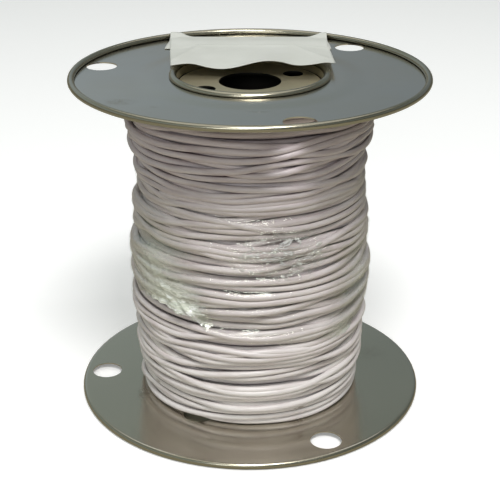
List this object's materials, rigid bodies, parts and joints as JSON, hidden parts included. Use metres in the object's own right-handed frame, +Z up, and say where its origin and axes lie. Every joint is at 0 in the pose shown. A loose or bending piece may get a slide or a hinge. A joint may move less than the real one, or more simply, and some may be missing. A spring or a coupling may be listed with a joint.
{
  "type": "reel of insulated electrical wire",
  "caption": "Sheet-steel wire reel with rolled rims, wound full of white insulated building wire, with clear film round the winding and a blank paper label on top.",
  "frame": {"origin": "on the floor at the centre of the reel's footprint, on its axis", "axes": "+Z up along the reel's axis; -Y towards the front of the picture, with the label at the back of the top"},
  "size_m": [0.165, 0.165, 0.161],
  "materials": {
    "flange_steel": "semi-gloss tinned sheet steel",
    "plate_steel": "satin pressed steel",
    "insulation": "semi-gloss white PVC",
    "film": "clear wrinkled stretch film",
    "paper": "uncoated white paper"
  },
  "bodies": {
    "root": {"lower_flange": "flange_steel", "upper_flange": "flange_steel", "barrel_tube": "flange_steel", "lower_arbor_plate": "plate_steel", "upper_arbor_plate": "plate_steel", "wire_winding": "insulation", "stretch_wrap": "film", "paper_label": "paper"}
  },
  "joints": []
}
